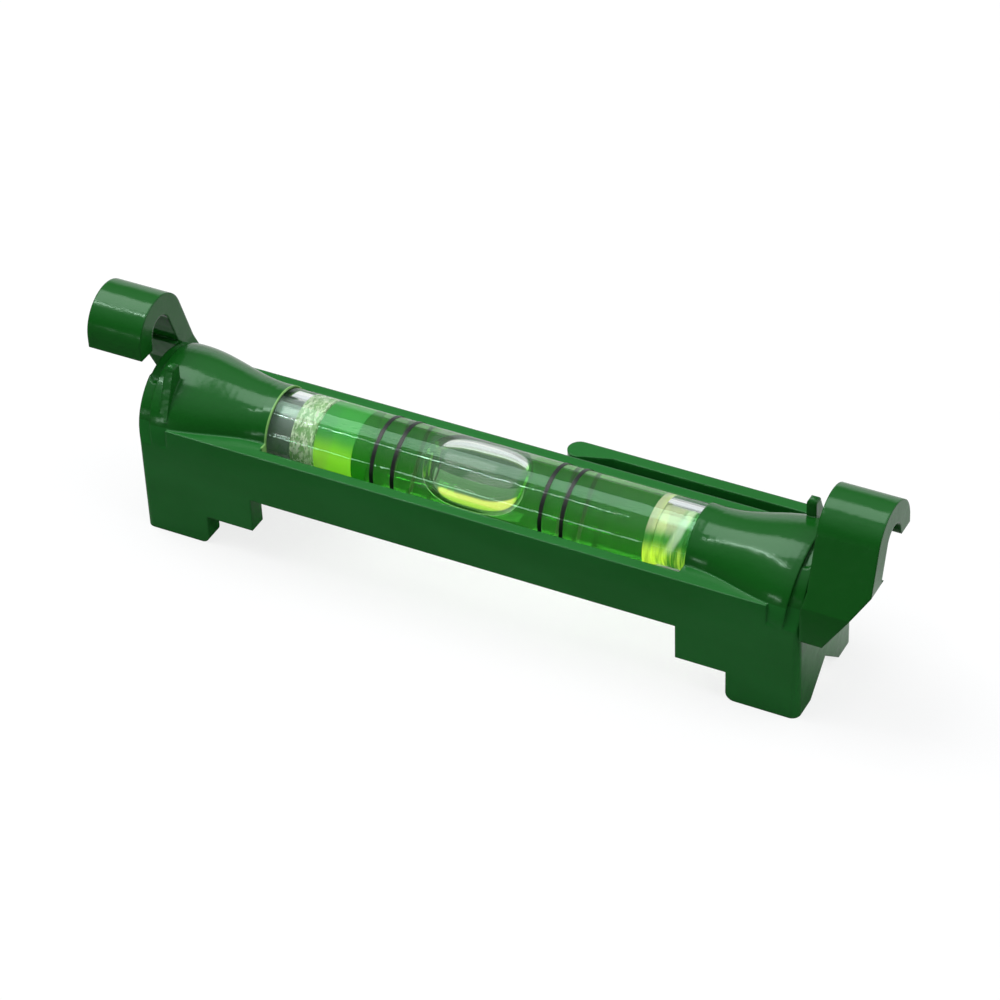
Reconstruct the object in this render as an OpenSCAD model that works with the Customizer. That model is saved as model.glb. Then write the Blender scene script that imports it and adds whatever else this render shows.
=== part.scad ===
// Line level: a small spirit level that hangs on a taut string by two hooks.
// The body is one moulding that holds a clear vial between two bell-shaped sockets.
// Frame: x runs along the vial, y across the body and z up.
// The origin is on the resting face, midway between the feet.
// The second end of the body is the first one turned half round about z.

/* [Body] */
// Length between the outer faces of the two end walls
body_length = 72.4; // [70:0.2:90]
// Width across the feet
foot_width = 13.4; // [13.2:0.1:17]
// Width across the top of the rails
rail_top_width = 13.1; // [12.6:0.1:16]
// Height of the top of the rails
rail_top_height = 12.9; // [12:0.1:15]
// Height of the underside of the rails
rail_under_height = 7.2; // [5.5:0.1:8.5]
// Thickness of the rails at their top
rail_wall = 1.2; // [0.8:0.1:1.4]
// Thickness of the rails at their underside
rail_foot_wall = 2.4; // [1.4:0.1:2.5]
// Radius of the upright corners of the body
corner_radius = 0.9; // [0.3:0.1:1.5]
// Height at which the sides start to lean in at the end walls
shoulder_height = 10.7; // [9.8:0.1:11.3]

/* [Feet] */
// Length of the lowest step of each foot
foot_length = 7.5; // [5:0.1:9]
// Length of the upper step beyond the lowest one
step_length = 5.3; // [3:0.1:8]
// Height of the upper step
step_height = 3.35; // [2:0.05:4.5]
// Thickness of the side walls of the feet
foot_wall = 2.1; // [1.4:0.1:2.4]
// Thickness of the end walls
end_wall = 1.8; // [1.2:0.1:2.6]
// Rounding of the inner lower corner of each foot
foot_corner = 0.9; // [0.2:0.1:1.4]
// Width of the pipe notch at the resting face
notch_width = 6.9; // [4:0.1:8]
// Angle between the two faces of the pipe notch
notch_angle = 100; // [85:1:120]
// Height of the ceiling of the space inside each foot
pocket_height = 8; // [7:0.1:8.4]

/* [Sockets] */
// Distance between the mouths of the two sockets
window_length = 45.8; // [40:0.2:48]
// Shift of that window from the middle of the body towards the right end
window_shift = 0.4; // [-0.5:0.1:0.5]
// Radius of a bell at its mouth
mouth_radius = 4.25; // [4.25:0.05:4.7]
// Radius of a bell at its wide end
bell_radius = 6.6; // [6.3:0.05:6.7]
// Length of the end wall's rim beyond the wide end of a bell
rim_width = 1.6; // [1.2:0.1:2.2]
// Wall of a bell beyond the end of the vial
bell_wall = 1.4; // [1:0.1:1.8]
// Drop of the bell's axis from its mouth to the end wall
bell_drop = 1.2; // [0:0.05:1.3]
// Radius of the rounded top of the end wall
rim_radius = 6.1; // [5.7:0.05:6.2]
// Height of the centre of the rounded top of the end wall
rim_height = 11.4; // [11:0.1:11.9]
// Height at which the groove between end wall and bell runs out
groove_height = 16.6; // [15.5:0.1:17]
// Depth of that groove at the outer face of the end wall
groove_depth = 0.15; // [0.05:0.05:0.3]

/* [Hooks] */
// Width of a hook along the string
hook_width = 6.7; // [4:0.1:9]
// Thickness of the band that a hook is bent from
hook_thickness = 2.3; // [1.8:0.1:2.6]
// Height of the top of the hooks
hook_top = 23.6; // [22.5:0.1:27]
// Outer radius of a hook's arch
arch_radius = 3.95; // [3.6:0.05:4.3]
// Sideways shift of the arch from the centre line towards the stem
arch_offset = 0.35; // [0:0.05:0.6]
// How far the free part of a hook stands off the plane of the end wall
hook_setback = 0.45; // [0:0.05:0.8]
// Height of the lower end of the left hook's hanging tip
left_tip_height = 18.4; // [17.8:0.1:19.3]
// Height of the lower end of the right hook's hanging tip
right_tip_height = 19; // [17.8:0.1:19.3]
// Thickness of a tip at its lower end
tip_thickness = 2.05; // [1.2:0.05:2.3]
// Lean of the stem from upright
stem_lean = 19.4; // [16:0.2:24]
// Height of the underside of the bracket below a stem
bracket_height = 9.8; // [8.5:0.1:11]
// Length of that underside beyond the end wall
bracket_length = 2.3; // [1:0.1:4]
// Height at which the bracket reaches the full width of the hook
bracket_top = 16.5; // [14:0.1:17.5]
// Thickness of the bracket
bracket_wall = 2.9; // [2.4:0.1:3.4]

/* [Tabs] */
// Width of the retaining tab beside the open side of each hook
tab_width = 1; // [0.7:0.1:1.6]
// Distance of that tab from the wide end of the bell
tab_inset = 0.8; // [0:0.1:1.2]
// Height of the top of a tab
tab_top = 18.95; // [18.2:0.05:20]
// Distance of the tab's tip from the centre line
tab_offset = 3.35; // [2.8:0.05:3.8]
// Thickness of a tab at its tip
tab_tip = 1.1; // [0.7:0.1:1.4]

/* [Pocket clip] */
// Distance from the centre of the body to the free end of the clip
clip_start = 5.1; // [-10:0.1:12]
// Distance from the outer face of the end wall to the rooted end of the clip
clip_inset = 2.4; // [1.7:0.1:8]
// Height of the clip bar
clip_height = 5; // [3:0.1:5.5]
// Thickness of the clip bar
clip_thickness = 1.35; // [1:0.05:1.8]
// Gap between the clip bar and the rail
clip_gap = 1.25; // [0.8:0.05:1.8]
// Gap between the bead at the free end and the rail
bead_gap = 0.12; // [0.05:0.01:0.4]
// Length of the root that joins the clip to the body
clip_root = 2.6; // [2:0.1:5]

/* [Vial] */
// Outer diameter of the vial
vial_diameter = 8.1; // [7.8:0.05:8.2]
// Length of the vial
vial_length = 53; // [49:0.5:54]
// Height of the vial's axis
vial_height = 12.2; // [12:0.05:12.6]
// Radial gap between the vial and its sockets
vial_fit = 0.04; // [0.02:0.01:0.1]
// Diameter of the bore at its two ends
bore_diameter = 6.2; // [5.2:0.1:6.6]
// How much wider the radius of the bore is at the middle
bore_crown = 0.12; // [0.04:0.01:0.3]
// Length of the plug in the left end of the vial
left_plug_length = 13.3; // [8:0.1:14]
// Length of the plug in the right end of the vial
right_plug_length = 8; // [5:0.1:10]
// Radial gap between the bore and what fills it
bore_fit = 0.02; // [0.01:0.01:0.05]
// Length of the bubble
bubble_length = 9.6; // [6.5:0.1:13]

/* [Reading rings] */
// Shift of all four rings from the middle of the body towards the left end
ring_shift = 0.25; // [0:0.05:0.8]
// Distance from their centre to the inner rings
inner_ring = 8.1; // [5:0.05:9.5]
// Distance from their centre to the outer rings
outer_ring = 10.4; // [9.8:0.05:14]
// Width of a ring
ring_width = 0.42; // [0.2:0.02:0.8]
// Thickness of a ring
ring_thickness = 0.06; // [0.03:0.01:0.1]

/* [Hidden] */
$fn = 96;

// Reach of a cut past the face that it opens
over = 1;
end_x = body_length / 2;
bell_end = end_x - rim_width;
clip_end = end_x - clip_inset;
right_mouth = window_length / 2 + window_shift;
left_mouth = window_length / 2 - window_shift;
vial_radius = vial_diameter / 2;
vial_end = vial_length / 2;
bore_radius = bore_diameter / 2;
seat_radius = vial_radius + vial_fit;
// Place where the deck beside a bell ends at the thickened end wall
deck_end = bell_end - end_wall;
rail_inner_y = rail_top_width / 2 - rail_wall;
foot_inner_y = foot_width / 2 - foot_wall;

// Half width of the drafted body at a height
function side_y(z) = (foot_width + (rail_top_width - foot_width) * z / rail_top_height) / 2;

// Shoulder of the end wall: the side up to the shoulder, then a line that touches the rim
shoulder_y = side_y(shoulder_height);
shoulder_reach = norm([shoulder_y, shoulder_height - rim_height]);
shoulder_angle = acos(rim_radius / shoulder_reach) + atan2(shoulder_height - rim_height, shoulder_y);
shoulder_touch = [rim_radius * cos(shoulder_angle), rim_height + rim_radius * sin(shoulder_angle)];

// Hook: the arch's centre and the lean of the stem as a normal and a direction
hook_end_x = end_x + hook_width;
arch_centre = [arch_offset, hook_top - arch_radius];
arch_inner = arch_radius - hook_thickness;
stem_normal = [cos(stem_lean), sin(stem_lean)];
stem_down = [sin(stem_lean), -cos(stem_lean)];
stem_outer_top = arch_centre + arch_radius * stem_normal;
stem_inner_top = arch_centre + arch_inner * stem_normal;

// Liquid space between the two plugs
liquid_left = left_plug_length - vial_end;
liquid_right = vial_end - right_plug_length;
liquid_middle = (liquid_left + liquid_right) / 2;
liquid_half = (liquid_right - liquid_left) / 2;
// The bubble presses against the top of the bore and bulges down into the liquid
bubble_radius = bore_radius + bore_crown;
bubble_belly_radius = bubble_radius + 0.25;
bubble_belly_rise = 2.6;

// Point on a line that starts at p and runs along d, where it reaches the coordinate v on axis k
function along(p, d, k, v) = p + d * (v - p[k]) / d[k];

// Radius of the bell at a share of its length, as a half wave from mouth to wide end
function bell_at(s) = mouth_radius + (bell_radius - mouth_radius) * (1 - cos(180 * s)) / 2;

// Radius of the crowned bore at a place along the vial
function bore_at(x) = bore_radius + bore_crown * (1 - pow((x - liquid_middle) / liquid_half, 2));

// Draws a (y, z) outline as a bar along x between two places
module bar_x(from, to) {
    translate([from, 0, 0])
        rotate([90, 0, 90])
            linear_extrude(height = to - from) children();
}

// Draws an (x, z) outline as a bar across y
module bar_y(width) {
    rotate([90, 0, 0])
        linear_extrude(height = width, center = true) children();
}

// Turns an outline of (radius, length) points about the vial's axis
module turned() {
    translate([0, 0, vial_height])
        rotate([0, 90, 0])
            rotate_extrude() children();
}

// Lower edge of one foot seen from the front, as far as the rail's underside
module foot_outline() {
    lower_x = end_x - foot_length;
    upper_x = lower_x - step_length;
    difference() {
        polygon([
            [end_x, 0],
            [lower_x, 0],
            [lower_x, step_height],
            [upper_x, step_height],
            [upper_x, rail_under_height + over],
            [end_x, rail_under_height + over]
        ]);
        translate([lower_x, 0])
            difference() {
                translate([-over, -over]) square([foot_corner + over, foot_corner + over]);
                translate([foot_corner, foot_corner]) circle(foot_corner);
            }
    }
}

module side_outline() {
    translate([-end_x, rail_under_height])
        square([body_length, hook_top - rail_under_height]);
    foot_outline();
    mirror([1, 0]) foot_outline();
}

// Cross section between the drafted sides, from the feet to above the end walls
module draft_outline() {
    top_y = side_y(hook_top);
    polygon([
        [-foot_width / 2, 0],
        [foot_width / 2, 0],
        [top_y, hook_top],
        [-top_y, hook_top]
    ]);
}

// Cross section under the leaning shoulders, before the sides are trimmed to their draft
module shoulder_outline() {
    half_y = foot_width / 2 + over;
    shoulder = along(shoulder_touch, [shoulder_y, shoulder_height] - shoulder_touch, 0, half_y);
    polygon([
        [-half_y, 0],
        [half_y, 0],
        shoulder,
        shoulder_touch,
        [-shoulder_touch[0], shoulder_touch[1]],
        [-shoulder[0], shoulder[1]]
    ]);
}

// End wall with a shallow groove round its top that ends above a scooped pad on each side
module end_block() {
    length = rim_width;
    bar_x(deck_end, end_x) shoulder_outline();
    difference() {
        bar_x(bell_end - 0.3, end_x)
            translate([0, rim_height]) circle(rim_radius);
        difference() {
            union() {
                translate([bell_end, -foot_width, groove_height])
                    cube([length + over, 2 * foot_width, rim_height + rim_radius - groove_height + over]);
                translate([bell_end + length / 2, 0, groove_height + length / 4])
                    rotate([90, 0, 0])
                        cylinder(r = length / 2, h = 2 * foot_width, center = true);
            }
            translate([bell_end - over, 0, rim_height])
                rotate([0, 90, 0])
                    cylinder(r1 = rim_radius - 3 * groove_depth, r2 = rim_radius - groove_depth, h = length + 2 * over);
        }
    }
}

module plan_outline() {
    half_y = foot_width / 2 + over;
    core_x = end_x - corner_radius;
    core_y = foot_width / 2 - corner_radius;
    translate([-core_x, -half_y]) square([2 * core_x, 2 * half_y]);
    translate([-end_x, -core_y]) square([body_length, 2 * core_y]);
    for (x = [-core_x, core_x], y = [-core_y, core_y])
        translate([x, y]) circle(corner_radius);
}

// Rails and feet in one drafted block, before the hollows are cut
module block() {
    intersection() {
        bar_y(foot_width + 2 * over) side_outline();
        bar_x(-end_x - over, end_x + over) draft_outline();
        union() {
            translate([-deck_end, -foot_width, 0])
                cube([2 * deck_end, 2 * foot_width, rail_top_height]);
            for (turn = [0, 180])
                rotate([0, 0, turn]) end_block();
        }
        linear_extrude(height = hook_top) plan_outline();
    }
}

// Bell of one socket, shrunk by a wall, from one share of its length to the other
module bell(mouth, wall = 0, from = 0, to = 1) {
    steps = 16;
    length = bell_end - mouth;
    translate([mouth, 0, vial_height])
        rotate([0, 90 + atan(bell_drop / length), 0])
            rotate_extrude()
                polygon(concat(
                    from > 0 ? [[0, length * from]] : [[0, -over], [mouth_radius, -over]],
                    [for (i = [0:steps])
                        let (s = from + (to - from) * i / steps)
                        [bell_at(s) - wall, length * s]],
                    [[0, length * to]]
                ));
}

// Band of a hook in (y, z) with its stem towards +y
module hook_outline(tip_height) {
    reach = hook_top;
    tip_u = arch_centre[0] - arch_radius;
    side_top = along(stem_outer_top, stem_down, 0, side_y(shoulder_height));
    lip_outer = along(stem_inner_top, stem_down, 1, bracket_top);
    bracket_inner_y = side_y(bracket_height) - bracket_wall;
    lip_inner = [lip_outer[0] - (bracket_wall - hook_thickness), bracket_top];
    bracket_bend = along(lip_inner, stem_down, 0, bracket_inner_y);
    // Arch, from the tip's side round to the stem
    intersection() {
        translate(arch_centre)
            difference() {
                circle(arch_radius);
                circle(arch_inner);
            }
        polygon([
            arch_centre,
            arch_centre + reach * stem_normal,
            arch_centre + reach * [1, 1],
            arch_centre + reach * [-1, 1],
            arch_centre + reach * [-1, 0]
        ]);
    }
    // Hanging tip, slightly thinner towards its end
    polygon([
        [tip_u, arch_centre[1]],
        [tip_u, tip_height],
        [tip_u + tip_thickness, tip_height],
        [tip_u + hook_thickness, arch_centre[1]],
        [tip_u + hook_thickness / 2, arch_centre[1] + arch_inner / 3]
    ]);
    // Leaning stem with the bracket below it
    polygon([
        stem_outer_top,
        side_top,
        [side_y(bracket_height), bracket_height],
        [bracket_inner_y, bracket_height],
        bracket_bend,
        lip_inner,
        lip_outer,
        stem_inner_top,
        (stem_inner_top + stem_outer_top) / 2 - arch_inner / 3 * stem_down
    ]);
}

// Side view of a hook: a bracket that widens upwards to the full width
module hook_side_outline() {
    polygon([
        [end_x, bracket_height],
        [end_x + bracket_length, bracket_height],
        [hook_end_x, bracket_top],
        [hook_end_x, hook_top + over],
        [end_x + hook_setback, hook_top + over],
        [end_x + hook_setback, bracket_top - over],
        [end_x, shoulder_touch[1]]
    ]);
}

module hook(tip_height) {
    intersection() {
        bar_x(end_x, hook_end_x) mirror([1, 0]) hook_outline(tip_height);
        bar_y(2 * foot_width) hook_side_outline();
    }
    // Root inside the end wall
    root_inner = side_y(bracket_height) - bracket_wall + hook_setback / 2;
    root_outer = shoulder_touch[0] - hook_setback / 2;
    root_bottom = bracket_height + hook_setback;
    translate([end_x - hook_setback, -root_outer, root_bottom])
        cube([2 * hook_setback + bracket_length / 4, root_outer - root_inner, shoulder_touch[1] - root_bottom - 0.3]);
}

// Retaining tab on the shoulder of the bell, beside the open side of the hook
module tab() {
    tip_y = tab_offset + tab_tip / 2;
    tip_z = tab_top - tab_tip / 2;
    centre_x = bell_end - tab_inset - tab_width / 2;
    intersection() {
        bar_x(centre_x - tab_width / 2, centre_x + tab_width / 2) {
            translate([tab_offset, tip_z]) circle(tab_tip / 2);
            polygon([
                [tip_y - tab_tip, tip_z],
                [tip_y, tip_z],
                [shoulder_touch[0] + 0.2, shoulder_touch[1] + 0.4],
                [side_y(shoulder_height) - rail_wall, shoulder_height],
                [tip_y - tab_tip, rim_height + mouth_radius]
            ]);
        }
        bar_y(2 * foot_width) {
            translate([centre_x, tab_top - tab_width / 2]) circle(tab_width / 2);
            translate([centre_x - tab_width / 2, 0]) square([tab_width, tab_top - tab_width / 2]);
        }
    }
}

// Plan of the pocket clip: bead, spring bar and root
module clip_outline() {
    side = side_y(rail_top_height - clip_height);
    inner_y = side + clip_gap;
    outer_y = inner_y + clip_thickness;
    bead_radius = (outer_y - side - bead_gap) / 2;
    bead_x = clip_start + bead_radius;
    bead_y = outer_y - bead_radius;
    root_x = clip_end - clip_root;
    translate([bead_x, bead_y]) circle(bead_radius);
    polygon([
        [bead_x, outer_y],
        [bead_x, bead_y - bead_radius],
        [bead_x + 3 * bead_radius, inner_y],
        [root_x, inner_y],
        [root_x, outer_y]
    ]);
    // The slot's round end reaches a little into the rail, which the clip is joined to
    slot_radius = clip_gap / 2 + 0.05;
    difference() {
        translate([root_x - slot_radius, side - rail_wall / 2])
            square([clip_root - clip_thickness + slot_radius, outer_y - side + rail_wall / 2]);
        translate([root_x - slot_radius, inner_y - slot_radius]) circle(slot_radius);
    }
    translate([root_x, side - rail_wall / 2])
        square([clip_root, outer_y - clip_thickness - side + rail_wall / 2]);
    translate([clip_end - clip_thickness, outer_y - clip_thickness]) circle(clip_thickness);
}

// Cross section of the window between the rails, whose inner faces lean in below the vial
module window_outline() {
    lower_y = side_y(rail_under_height) - rail_foot_wall;
    polygon([
        [-rail_inner_y, hook_top],
        [rail_inner_y, hook_top],
        [rail_inner_y, rail_top_height],
        [lower_y, rail_under_height],
        [lower_y, -over],
        [-lower_y, -over],
        [-lower_y, rail_under_height],
        [-rail_inner_y, rail_top_height]
    ]);
}

// Everything at one end of the body, with the stem at -y and the tab at +y
module end_group(mouth, tip_height) {
    intersection() {
        bell(mouth);
        translate([mouth, -foot_width, 0]) cube([end_x - mouth, 2 * foot_width, hook_top]);
    }
    hook(tip_height);
    tab();
}

// Space under one bell, open downwards so that the vial can be laid in from below
module end_hollow(mouth) {
    pocket_end = end_x - end_wall;
    shelf_share = (vial_end + vial_fit - mouth) / (bell_end - mouth);
    pocket_share = (pocket_end - mouth) / (bell_end - mouth);
    shelf_y = bell_at(shelf_share) - bell_wall;
    translate([mouth, -foot_inner_y, -over])
        cube([pocket_end - mouth, 2 * foot_inner_y, pocket_height + over]);
    translate([mouth - over, -seat_radius, pocket_height - over])
        cube([vial_end + vial_fit - mouth + over, 2 * seat_radius, vial_height - pocket_height + over]);
    intersection() {
        bell(mouth, bell_wall, shelf_share - 0.02, pocket_share + 0.1);
        translate([mouth, -foot_width, 0]) cube([pocket_end - mouth, 2 * foot_width, hook_top]);
    }
    translate([0, 0, pocket_height - over])
        linear_extrude(height = rim_height - pocket_height + over)
            polygon([
                [vial_end, -shelf_y],
                [pocket_end, -foot_inner_y],
                [pocket_end, foot_inner_y],
                [vial_end, shelf_y]
            ]);
}

// Notches across both end walls, to stand the level on a pipe
module pipe_notch() {
    notch_depth = notch_width / 2 / tan(notch_angle / 2);
    slope = notch_width / 2 / notch_depth;
    bar_x(-hook_end_x, hook_end_x)
        polygon([
            [-notch_width / 2 - over * slope, -over],
            [0, notch_depth],
            [notch_width / 2 + over * slope, -over]
        ]);
}

module body() {
    color([0.07, 0.36, 0.12])
        difference() {
            union() {
                block();
                end_group(right_mouth, right_tip_height);
                rotate([0, 0, 180]) end_group(left_mouth, left_tip_height);
                translate([0, 0, rail_top_height - clip_height])
                    linear_extrude(height = clip_height) clip_outline();
            }
            // Window between the rails, open above and below
            bar_x(-left_mouth, right_mouth) window_outline();
            end_hollow(right_mouth);
            rotate([0, 0, 180]) end_hollow(left_mouth);
            // Seat of the vial in both sockets
            translate([-vial_end - vial_fit, 0, vial_height])
                rotate([0, 90, 0]) cylinder(r = seat_radius, h = vial_length + 2 * vial_fit);
            pipe_notch();
        }
}

// Half outline of the crowned bore, as (radius, place) points from right to left
function bore_points(gap = 0) = [
    for (i = [0:20])
        let (x = liquid_right - gap + (liquid_left - liquid_right + 2 * gap) * i / 20)
        [bore_at(x) - gap, x]
];

module vial_tube() {
    color([0.85, 0.95, 0.85, 0.35])
        turned()
            polygon(concat(
                [[bore_radius, -vial_end], [vial_radius, -vial_end]],
                [[vial_radius, vial_end], [bore_radius, vial_end]],
                bore_points()
            ));
}

// Plug with a chamfered nose, bonded into one end of the tube
module plug(length) {
    nose = 0.3;
    radius = bore_radius - bore_fit;
    turned()
        polygon([
            [0, vial_end - length],
            [radius - nose, vial_end - length],
            [radius, vial_end - length + nose],
            [radius, vial_end - bore_fit],
            [0, vial_end - bore_fit]
        ]);
}

module left_plug() {
    color([0.8, 0.95, 0.7, 0.6])
        rotate([0, 0, 180]) plug(left_plug_length);
}

module right_plug() {
    color([0.75, 0.95, 0.3, 0.6]) plug(right_plug_length);
}

// Long rounded form about the x axis, used twice for the bubble
module pill(radius, half_length) {
    rotate([0, 90, 0]) cylinder(r = radius, h = 2 * half_length, center = true);
    for (x = [-half_length, half_length])
        translate([x, 0, 0]) sphere(radius);
}

module bubble() {
    half = bubble_length / 2 - bore_radius;
    intersection() {
        translate([0, 0, vial_height + bore_fit]) pill(bubble_radius, half);
        translate([0, 0, vial_height + bubble_belly_rise]) pill(bubble_belly_radius, half);
    }
}

module liquid() {
    color([0.45, 0.85, 0.15, 0.7])
        difference() {
            turned()
                polygon(concat(
                    [[0, liquid_right - bore_fit]],
                    bore_points(bore_fit),
                    [[0, liquid_left + bore_fit]]
                ));
            bubble();
        }
}

// Four black rings round the vial, two on each side of the bubble
module reading_rings() {
    inner = vial_radius + ring_thickness / 6;
    color([0.03, 0.03, 0.03])
        for (x = [-outer_ring, -inner_ring, inner_ring, outer_ring])
            translate([x - ring_shift, 0, vial_height])
                rotate([0, 90, 0])
                    difference() {
                        cylinder(r = vial_radius + ring_thickness, h = ring_width, center = true);
                        cylinder(r = inner, h = ring_width + over, center = true);
                    }
}

body();
vial_tube();
left_plug();
right_plug();
liquid();
reading_rings();
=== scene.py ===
# %% [markdown]
# # Line level
# A line level is a small spirit level that a builder hangs on a taut string.
# The body is one green moulding, and it holds a clear vial with a bubble between two bell-shaped sockets.
# This lesson dresses the solid model for a photograph: camera, light, finishes and then each piece in turn.
# All lengths are in metres, and x runs along the vial.

import math

import bmesh
import bpy
from mathutils import Matrix, Vector


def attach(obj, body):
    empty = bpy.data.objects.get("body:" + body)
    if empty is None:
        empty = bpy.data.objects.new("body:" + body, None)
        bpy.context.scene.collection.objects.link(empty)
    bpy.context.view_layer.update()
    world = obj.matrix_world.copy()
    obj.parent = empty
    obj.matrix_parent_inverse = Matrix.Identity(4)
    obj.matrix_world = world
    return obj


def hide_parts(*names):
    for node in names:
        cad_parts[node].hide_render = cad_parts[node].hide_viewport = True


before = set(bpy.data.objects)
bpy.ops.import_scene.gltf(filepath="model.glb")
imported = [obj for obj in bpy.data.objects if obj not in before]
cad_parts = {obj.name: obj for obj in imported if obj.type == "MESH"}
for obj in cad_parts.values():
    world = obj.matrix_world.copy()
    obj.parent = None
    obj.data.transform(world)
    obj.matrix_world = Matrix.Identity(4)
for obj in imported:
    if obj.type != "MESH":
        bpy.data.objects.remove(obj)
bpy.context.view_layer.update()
MM = 0.001
print("nodes:", ", ".join(sorted(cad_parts)))

# %% [markdown]
# ## The camera
# The level was photographed from its front left, well above it, with a long lens.
# A camera is a place, a direction and a lens, so the four edges of the body and the ends of the hooks fix it.
# The angles below put those corners where the photograph has them. The small roll says that the camera was tilted.

# %% Place the camera
VIEW_AZIMUTH = math.radians(28.5874)
VIEW_ELEVATION = math.radians(38.1606)
VIEW_ROLL = math.radians(-2.59123)
VIEW_DISTANCE = 364.278 * MM
VIEW_TARGET = Vector((1.4588, 0, 10.6198)) * MM
FOCAL_LENGTH = 133.552
SENSOR_WIDTH = 36
NEAR_CLIP = 0.01
FAR_CLIP = 20

back = Vector((
    math.sin(VIEW_AZIMUTH) * math.cos(VIEW_ELEVATION),
    -math.cos(VIEW_AZIMUTH) * math.cos(VIEW_ELEVATION),
    math.sin(VIEW_ELEVATION),
))
level_right = Vector((math.cos(VIEW_AZIMUTH), math.sin(VIEW_AZIMUTH), 0))
level_up = back.cross(level_right)
right = level_right * math.cos(VIEW_ROLL) + level_up * math.sin(VIEW_ROLL)
up = back.cross(right)
turned_to_level = Matrix((right, up, back)).transposed().to_4x4()

camera = bpy.data.objects.new("camera", bpy.data.cameras.new("camera"))
bpy.context.scene.collection.objects.link(camera)
camera.data.lens = FOCAL_LENGTH
camera.data.sensor_width = SENSOR_WIDTH
camera.data.clip_start = NEAR_CLIP
camera.data.clip_end = FAR_CLIP
camera.matrix_world = Matrix.Translation(VIEW_TARGET + back * VIEW_DISTANCE) @ turned_to_level
bpy.context.scene.camera = camera
bpy.context.scene.view_settings.view_transform = "Standard"
print("camera at", [round(v, 4) for v in camera.matrix_world.translation])

# %% [markdown]
# ## A socket that does sums
# Every finish below is a small sum of noises and masks.
# Wrapping one output socket in a class lets such a sum be written as plain Python,
# and each operator adds its Math node.
# Colours must not go through Math nodes, which turn them grey, so they have methods of their own.
# A Mix node keeps sockets for every type of data, and its colour sockets are found by their numbers.

# %% Wrap one output socket
MIX_MASK, MIX_START, MIX_END = 0, 6, 7
MIX_COLOUR = 2


class Field:
    """One output socket of a material: a number, a colour or a vector that varies over the surface."""

    def __init__(self, tree, socket=None):
        self.tree = tree
        self.socket = socket

    def node(self, kind, settings=None, inputs=None, out=0):
        """Adds any node: its settings first, then a value or a link for each named socket."""
        made = self.tree.nodes.new("ShaderNode" + kind)
        for name, value in (settings or {}).items():
            setattr(made, name, value)
        for name, value in (inputs or {}).items():
            if isinstance(value, Field):
                self.tree.links.new(value.socket, made.inputs[name])
            else:
                made.inputs[name].default_value = value
        return Field(self.tree, made.outputs[out])

    def math(self, operation, *values):
        """Adds one Math node."""
        return self.node("Math", {"operation": operation}, dict(enumerate(values)))

    def __add__(self, other):
        return self.math("ADD", self, other)

    def __radd__(self, other):
        return self.math("ADD", other, self)

    def __sub__(self, other):
        return self.math("SUBTRACT", self, other)

    def __rsub__(self, other):
        return self.math("SUBTRACT", other, self)

    def __mul__(self, other):
        return self.math("MULTIPLY", self, other)

    def __rmul__(self, other):
        return self.math("MULTIPLY", other, self)

    def at_most(self, limit):
        """This value, held down to a limit."""
        return self.math("MINIMUM", self, limit)

    def size(self):
        """This value without its sign."""
        return self.math("ABSOLUTE", self)

    def between(self, low, high):
        """0 below low and 1 above high, with a soft step between them."""
        return self.node(
            "MapRange", {"interpolation_type": "SMOOTHSTEP"}, {"Value": self, "From Min": low, "From Max": high}
        )

    def blend(self, start, end):
        """Colour that goes from start to end as this mask goes from 0 to 1."""
        return self.node(
            "Mix", {"data_type": "RGBA"}, {MIX_MASK: self, MIX_START: start, MIX_END: end}, out=MIX_COLOUR
        )

    def stretch(self, x, y, z):
        """This place, with each axis scaled."""
        return self.node("VectorMath", {"operation": "MULTIPLY"}, {0: self, 1: (x, y, z)})

    def axis(self, number):
        """One coordinate of this place: 0 for x, 1 for y, 2 for z."""
        return self.node("SeparateXYZ", inputs={0: self}, out=number)

    def noise(self, scale=1, detail=2, roughness=0.5):
        """Soft random clouds at this place, about 1 / scale metres across."""
        return self.node(
            "TexNoise", inputs={"Vector": self, "Scale": scale, "Detail": detail, "Roughness": roughness}
        )


print("a Field can do:", ", ".join(name for name in vars(Field) if not name.startswith("_")))

# %% [markdown]
# ## From sums to a finish
# A finish is one Principled shader: gloss, clearness and index are fixed numbers on its own sockets.
# Only what changes over the surface is linked: colour, roughness and the fine relief that bends the normal.
# The place on a piece is its Object coordinate, so the pattern stays on the piece from every side.

# %% Make a material from constants and fields
BEVEL_SAMPLES = 6


def new_finish(name, **constants):
    """Gives a material, its Principled node and the place on the piece, in metres."""
    material = bpy.data.materials.new(name)
    material.use_nodes = True
    tree = material.node_tree
    shader = tree.nodes["Principled BSDF"]
    for socket, value in constants.items():
        shader.inputs[socket.replace("_", " ")].default_value = value
    place = Field(tree).node("TexCoord", out="Object")
    return material, shader, place


def link_looks(shader, relief=None, relief_depth=0, relief_strength=1, edge_radius=0, **fields):
    """Links what varies to the shader, and bends its normal by a relief over softened edges."""
    tree = shader.id_data
    for socket, field in fields.items():
        tree.links.new(field.socket, shader.inputs[socket.replace("_", " ")])
    normal = None
    if edge_radius:
        normal = Field(tree).node("Bevel", {"samples": BEVEL_SAMPLES}, {"Radius": edge_radius})
    if relief is not None:
        inputs = {"Height": relief, "Distance": relief_depth, "Strength": relief_strength}
        if normal is not None:
            inputs["Normal"] = normal
        normal = Field(tree).node("Bump", inputs=inputs)
    if normal is not None:
        tree.links.new(normal.socket, shader.inputs["Normal"])
    print("a finish of", len(tree.nodes), "nodes")


# %% [markdown]
# ## The room
# The level stands under a pale ceiling, and the room in front of it is dark.
# That is why its top faces are brighter than its fronts, which stay deep green.
# A pale backdrop stands low behind the level, for its glossy faces to mirror.
# A world's Generated coordinate is the direction that is looked in, so its axes make the masks.

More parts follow.
